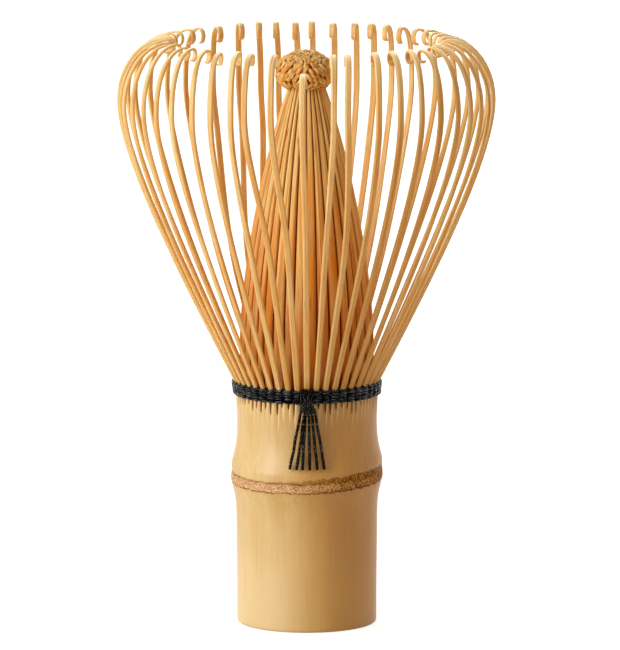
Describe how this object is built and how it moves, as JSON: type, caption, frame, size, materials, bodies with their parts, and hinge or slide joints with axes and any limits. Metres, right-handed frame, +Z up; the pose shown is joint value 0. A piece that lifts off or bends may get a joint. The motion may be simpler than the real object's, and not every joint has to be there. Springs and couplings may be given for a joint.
{
  "type": "matcha whisk",
  "caption": "Bamboo tea whisk: hollow handle split into springy outer tines round a gathered inner cone with a plaited tip, bound with black thread.",
  "frame": {"origin": "middle of the handle's base, where the whisk stands", "axes": "+Z up along the culm towards the tines; -Y towards the knot at the front"},
  "size_m": [0.072, 0.072, 0.1125],
  "materials": {
    "culm": "smooth bare bamboo skin",
    "outer_tine": "shaved bamboo, satin",
    "inner_tine": "shaved bamboo, matte",
    "thread": "twisted black cotton"
  },
  "bodies": {
    "handle": {"handle_culm": "culm", "inner_tines_left": "inner_tine", "inner_tines_right": "inner_tine", "tip_braid": "inner_tine", "thread_winding": "thread", "thread_knot": "thread", "thread_tail_1": "thread", "thread_tail_2": "thread", "thread_tail_3": "thread", "thread_tail_4": "thread", "thread_tail_5": "thread", "thread_tail_6": "thread"},
    "tine_01": {"outer_tine_01": "outer_tine"},
    "tine_02": {"outer_tine_02": "outer_tine"},
    "tine_03": {"outer_tine_03": "outer_tine"},
    "tine_04": {"outer_tine_04": "outer_tine"},
    "tine_05": {"outer_tine_05": "outer_tine"},
    "tine_06": {"outer_tine_06": "outer_tine"},
    "tine_07": {"outer_tine_07": "outer_tine"},
    "tine_08": {"outer_tine_08": "outer_tine"},
    "tine_09": {"outer_tine_09": "outer_tine"},
    "tine_10": {"outer_tine_10": "outer_tine"},
    "tine_11": {"outer_tine_11": "outer_tine"},
    "tine_12": {"outer_tine_12": "outer_tine"},
    "tine_13": {"outer_tine_13": "outer_tine"},
    "tine_14": {"outer_tine_14": "outer_tine"},
    "tine_15": {"outer_tine_15": "outer_tine"},
    "tine_16": {"outer_tine_16": "outer_tine"},
    "tine_17": {"outer_tine_17": "outer_tine"},
    "tine_18": {"outer_tine_18": "outer_tine"},
    "tine_19": {"outer_tine_19": "outer_tine"},
    "tine_20": {"outer_tine_20": "outer_tine"},
    "tine_21": {"outer_tine_21": "outer_tine"},
    "tine_22": {"outer_tine_22": "outer_tine"},
    "tine_23": {"outer_tine_23": "outer_tine"},
    "tine_24": {"outer_tine_24": "outer_tine"},
    "tine_25": {"outer_tine_25": "outer_tine"},
    "tine_26": {"outer_tine_26": "outer_tine"},
    "tine_27": {"outer_tine_27": "outer_tine"},
    "tine_28": {"outer_tine_28": "outer_tine"},
    "tine_29": {"outer_tine_29": "outer_tine"},
    "tine_30": {"outer_tine_30": "outer_tine"},
    "tine_31": {"outer_tine_31": "outer_tine"},
    "tine_32": {"outer_tine_32": "outer_tine"},
    "tine_33": {"outer_tine_33": "outer_tine"},
    "tine_34": {"outer_tine_34": "outer_tine"},
    "tine_35": {"outer_tine_35": "outer_tine"},
    "tine_36": {"outer_tine_36": "outer_tine"},
    "tine_37": {"outer_tine_37": "outer_tine"},
    "tine_38": {"outer_tine_38": "outer_tine"},
    "tine_39": {"outer_tine_39": "outer_tine"},
    "tine_40": {"outer_tine_40": "outer_tine"},
    "tine_41": {"outer_tine_41": "outer_tine"},
    "tine_42": {"outer_tine_42": "outer_tine"},
    "tine_43": {"outer_tine_43": "outer_tine"},
    "tine_44": {"outer_tine_44": "outer_tine"},
    "tine_45": {"outer_tine_45": "outer_tine"},
    "tine_46": {"outer_tine_46": "outer_tine"},
    "tine_47": {"outer_tine_47": "outer_tine"},
    "tine_48": {"outer_tine_48": "outer_tine"}
  },
  "joints": [
    {"name": "tine_01_flex", "type": "hinge", "parent": "handle", "child": "tine_01", "pos_m": [0, -0.01358, 0.04635], "axis": [-1, 0, 0], "range_deg": [-4, 8], "stiffness_Nm_per_rad": 0.003},
    {"name": "tine_02_flex", "type": "hinge", "parent": "handle", "child": "tine_02", "pos_m": [0.00177, -0.01346, 0.04635], "axis": [-0.9914, -0.1305, 0], "range_deg": [-4, 8], "stiffness_Nm_per_rad": 0.003},
    {"name": "tine_03_flex", "type": "hinge", "parent": "handle", "child": "tine_03", "pos_m": [0.00351, -0.01312, 0.04635], "axis": [-0.9659, -0.2588, 0], "range_deg": [-4, 8], "stiffness_Nm_per_rad": 0.003},
    {"name": "tine_04_flex", "type": "hinge", "parent": "handle", "child": "tine_04", "pos_m": [0.0052, -0.01255, 0.04635], "axis": [-0.9239, -0.3827, 0], "range_deg": [-4, 8], "stiffness_Nm_per_rad": 0.003},
    {"name": "tine_05_flex", "type": "hinge", "parent": "handle", "child": "tine_05", "pos_m": [0.00679, -0.01176, 0.04635], "axis": [-0.866, -0.5, 0], "range_deg": [-4, 8], "stiffness_Nm_per_rad": 0.003},
    {"name": "tine_06_flex", "type": "hinge", "parent": "handle", "child": "tine_06", "pos_m": [0.00827, -0.01077, 0.04635], "axis": [-0.7934, -0.6088, 0], "range_deg": [-4, 8], "stiffness_Nm_per_rad": 0.003},
    {"name": "tine_07_flex", "type": "hinge", "parent": "handle", "child": "tine_07", "pos_m": [0.0096, -0.0096, 0.04635], "axis": [-0.7071, -0.7071, 0], "range_deg": [-4, 8], "stiffness_Nm_per_rad": 0.003},
    {"name": "tine_08_flex", "type": "hinge", "parent": "handle", "child": "tine_08", "pos_m": [0.01077, -0.00827, 0.04635], "axis": [-0.6088, -0.7934, 0], "range_deg": [-4, 8], "stiffness_Nm_per_rad": 0.003},
    {"name": "tine_09_flex", "type": "hinge", "parent": "handle", "child": "tine_09", "pos_m": [0.01176, -0.00679, 0.04635], "axis": [-0.5, -0.866, 0], "range_deg": [-4, 8], "stiffness_Nm_per_rad": 0.003},
    {"name": "tine_10_flex", "type": "hinge", "parent": "handle", "child": "tine_10", "pos_m": [0.01255, -0.0052, 0.04635], "axis": [-0.3827, -0.9239, 0], "range_deg": [-4, 8], "stiffness_Nm_per_rad": 0.003},
    {"name": "tine_11_flex", "type": "hinge", "parent": "handle", "child": "tine_11", "pos_m": [0.01312, -0.00351, 0.04635], "axis": [-0.2588, -0.9659, 0], "range_deg": [-4, 8], "stiffness_Nm_per_rad": 0.003},
    {"name": "tine_12_flex", "type": "hinge", "parent": "handle", "child": "tine_12", "pos_m": [0.01346, -0.00177, 0.04635], "axis": [-0.1305, -0.9914, 0], "range_deg": [-4, 8], "stiffness_Nm_per_rad": 0.003},
    {"name": "tine_13_flex", "type": "hinge", "parent": "handle", "child": "tine_13", "pos_m": [0.01358, 0, 0.04635], "axis": [0, -1, 0], "range_deg": [-4, 8], "stiffness_Nm_per_rad": 0.003},
    {"name": "tine_14_flex", "type": "hinge", "parent": "handle", "child": "tine_14", "pos_m": [0.01346, 0.00177, 0.04635], "axis": [0.1305, -0.9914, 0], "range_deg": [-4, 8], "stiffness_Nm_per_rad": 0.003},
    {"name": "tine_15_flex", "type": "hinge", "parent": "handle", "child": "tine_15", "pos_m": [0.01312, 0.00351, 0.04635], "axis": [0.2588, -0.9659, 0], "range_deg": [-4, 8], "stiffness_Nm_per_rad": 0.003},
    {"name": "tine_16_flex", "type": "hinge", "parent": "handle", "child": "tine_16", "pos_m": [0.01255, 0.0052, 0.04635], "axis": [0.3827, -0.9239, 0], "range_deg": [-4, 8], "stiffness_Nm_per_rad": 0.003},
    {"name": "tine_17_flex", "type": "hinge", "parent": "handle", "child": "tine_17", "pos_m": [0.01176, 0.00679, 0.04635], "axis": [0.5, -0.866, 0], "range_deg": [-4, 8], "stiffness_Nm_per_rad": 0.003},
    {"name": "tine_18_flex", "type": "hinge", "parent": "handle", "child": "tine_18", "pos_m": [0.01077, 0.00827, 0.04635], "axis": [0.6088, -0.7934, 0], "range_deg": [-4, 8], "stiffness_Nm_per_rad": 0.003},
    {"name": "tine_19_flex", "type": "hinge", "parent": "handle", "child": "tine_19", "pos_m": [0.0096, 0.0096, 0.04635], "axis": [0.7071, -0.7071, 0], "range_deg": [-4, 8], "stiffness_Nm_per_rad": 0.003},
    {"name": "tine_20_flex", "type": "hinge", "parent": "handle", "child": "tine_20", "pos_m": [0.00827, 0.01077, 0.04635], "axis": [0.7934, -0.6088, 0], "range_deg": [-4, 8], "stiffness_Nm_per_rad": 0.003},
    {"name": "tine_21_flex", "type": "hinge", "parent": "handle", "child": "tine_21", "pos_m": [0.00679, 0.01176, 0.04635], "axis": [0.866, -0.5, 0], "range_deg": [-4, 8], "stiffness_Nm_per_rad": 0.003},
    {"name": "tine_22_flex", "type": "hinge", "parent": "handle", "child": "tine_22", "pos_m": [0.0052, 0.01255, 0.04635], "axis": [0.9239, -0.3827, 0], "range_deg": [-4, 8], "stiffness_Nm_per_rad": 0.003},
    {"name": "tine_23_flex", "type": "hinge", "parent": "handle", "child": "tine_23", "pos_m": [0.00351, 0.01312, 0.04635], "axis": [0.9659, -0.2588, 0], "range_deg": [-4, 8], "stiffness_Nm_per_rad": 0.003},
    {"name": "tine_24_flex", "type": "hinge", "parent": "handle", "child": "tine_24", "pos_m": [0.00177, 0.01346, 0.04635], "axis": [0.9914, -0.1305, 0], "range_deg": [-4, 8], "stiffness_Nm_per_rad": 0.003},
    {"name": "tine_25_flex", "type": "hinge", "parent": "handle", "child": "tine_25", "pos_m": [0, 0.01358, 0.04635], "axis": [1, 0, 0], "range_deg": [-4, 8], "stiffness_Nm_per_rad": 0.003},
    {"name": "tine_26_flex", "type": "hinge", "parent": "handle", "child": "tine_26", "pos_m": [-0.00177, 0.01346, 0.04635], "axis": [0.9914, 0.1305, 0], "range_deg": [-4, 8], "stiffness_Nm_per_rad": 0.003},
    {"name": "tine_27_flex", "type": "hinge", "parent": "handle", "child": "tine_27", "pos_m": [-0.00351, 0.01312, 0.04635], "axis": [0.9659, 0.2588, 0], "range_deg": [-4, 8], "stiffness_Nm_per_rad": 0.003},
    {"name": "tine_28_flex", "type": "hinge", "parent": "handle", "child": "tine_28", "pos_m": [-0.0052, 0.01255, 0.04635], "axis": [0.9239, 0.3827, 0], "range_deg": [-4, 8], "stiffness_Nm_per_rad": 0.003},
    {"name": "tine_29_flex", "type": "hinge", "parent": "handle", "child": "tine_29", "pos_m": [-0.00679, 0.01176, 0.04635], "axis": [0.866, 0.5, 0], "range_deg": [-4, 8], "stiffness_Nm_per_rad": 0.003},
    {"name": "tine_30_flex", "type": "hinge", "parent": "handle", "child": "tine_30", "pos_m": [-0.00827, 0.01077, 0.04635], "axis": [0.7934, 0.6088, 0], "range_deg": [-4, 8], "stiffness_Nm_per_rad": 0.003},
    {"name": "tine_31_flex", "type": "hinge", "parent": "handle", "child": "tine_31", "pos_m": [-0.0096, 0.0096, 0.04635], "axis": [0.7071, 0.7071, 0], "range_deg": [-4, 8], "stiffness_Nm_per_rad": 0.003},
    {"name": "tine_32_flex", "type": "hinge", "parent": "handle", "child": "tine_32", "pos_m": [-0.01077, 0.00827, 0.04635], "axis": [0.6088, 0.7934, 0], "range_deg": [-4, 8], "stiffness_Nm_per_rad": 0.003},
    {"name": "tine_33_flex", "type": "hinge", "parent": "handle", "child": "tine_33", "pos_m": [-0.01176, 0.00679, 0.04635], "axis": [0.5, 0.866, 0], "range_deg": [-4, 8], "stiffness_Nm_per_rad": 0.003},
    {"name": "tine_34_flex", "type": "hinge", "parent": "handle", "child": "tine_34", "pos_m": [-0.01255, 0.0052, 0.04635], "axis": [0.3827, 0.9239, 0], "range_deg": [-4, 8], "stiffness_Nm_per_rad": 0.003},
    {"name": "tine_35_flex", "type": "hinge", "parent": "handle", "child": "tine_35", "pos_m": [-0.01312, 0.00351, 0.04635], "axis": [0.2588, 0.9659, 0], "range_deg": [-4, 8], "stiffness_Nm_per_rad": 0.003},
    {"name": "tine_36_flex", "type": "hinge", "parent": "handle", "child": "tine_36", "pos_m": [-0.01346, 0.00177, 0.04635], "axis": [0.1305, 0.9914, 0], "range_deg": [-4, 8], "stiffness_Nm_per_rad": 0.003},
    {"name": "tine_37_flex", "type": "hinge", "parent": "handle", "child": "tine_37", "pos_m": [-0.01358, 0, 0.04635], "axis": [0, 1, 0], "range_deg": [-4, 8], "stiffness_Nm_per_rad": 0.003},
    {"name": "tine_38_flex", "type": "hinge", "parent": "handle", "child": "tine_38", "pos_m": [-0.01346, -0.00177, 0.04635], "axis": [-0.1305, 0.9914, 0], "range_deg": [-4, 8], "stiffness_Nm_per_rad": 0.003},
    {"name": "tine_39_flex", "type": "hinge", "parent": "handle", "child": "tine_39", "pos_m": [-0.01312, -0.00351, 0.04635], "axis": [-0.2588, 0.9659, 0], "range_deg": [-4, 8], "stiffness_Nm_per_rad": 0.003},
    {"name": "tine_40_flex", "type": "hinge", "parent": "handle", "child": "tine_40", "pos_m": [-0.01255, -0.0052, 0.04635], "axis": [-0.3827, 0.9239, 0], "range_deg": [-4, 8], "stiffness_Nm_per_rad": 0.003},
    {"name": "tine_41_flex", "type": "hinge", "parent": "handle", "child": "tine_41", "pos_m": [-0.01176, -0.00679, 0.04635], "axis": [-0.5, 0.866, 0], "range_deg": [-4, 8], "stiffness_Nm_per_rad": 0.003},
    {"name": "tine_42_flex", "type": "hinge", "parent": "handle", "child": "tine_42", "pos_m": [-0.01077, -0.00827, 0.04635], "axis": [-0.6088, 0.7934, 0], "range_deg": [-4, 8], "stiffness_Nm_per_rad": 0.003},
    {"name": "tine_43_flex", "type": "hinge", "parent": "handle", "child": "tine_43", "pos_m": [-0.0096, -0.0096, 0.04635], "axis": [-0.7071, 0.7071, 0], "range_deg": [-4, 8], "stiffness_Nm_per_rad": 0.003},
    {"name": "tine_44_flex", "type": "hinge", "parent": "handle", "child": "tine_44", "pos_m": [-0.00827, -0.01077, 0.04635], "axis": [-0.7934, 0.6088, 0], "range_deg": [-4, 8], "stiffness_Nm_per_rad": 0.003},
    {"name": "tine_45_flex", "type": "hinge", "parent": "handle", "child": "tine_45", "pos_m": [-0.00679, -0.01176, 0.04635], "axis": [-0.866, 0.5, 0], "range_deg": [-4, 8], "stiffness_Nm_per_rad": 0.003},
    {"name": "tine_46_flex", "type": "hinge", "parent": "handle", "child": "tine_46", "pos_m": [-0.0052, -0.01255, 0.04635], "axis": [-0.9239, 0.3827, 0], "range_deg": [-4, 8], "stiffness_Nm_per_rad": 0.003},
    {"name": "tine_47_flex", "type": "hinge", "parent": "handle", "child": "tine_47", "pos_m": [-0.00351, -0.01312, 0.04635], "axis": [-0.9659, 0.2588, 0], "range_deg": [-4, 8], "stiffness_Nm_per_rad": 0.003},
    {"name": "tine_48_flex", "type": "hinge", "parent": "handle", "child": "tine_48", "pos_m": [-0.00177, -0.01346, 0.04635], "axis": [-0.9914, 0.1305, 0], "range_deg": [-4, 8], "stiffness_Nm_per_rad": 0.003}
  ]
}
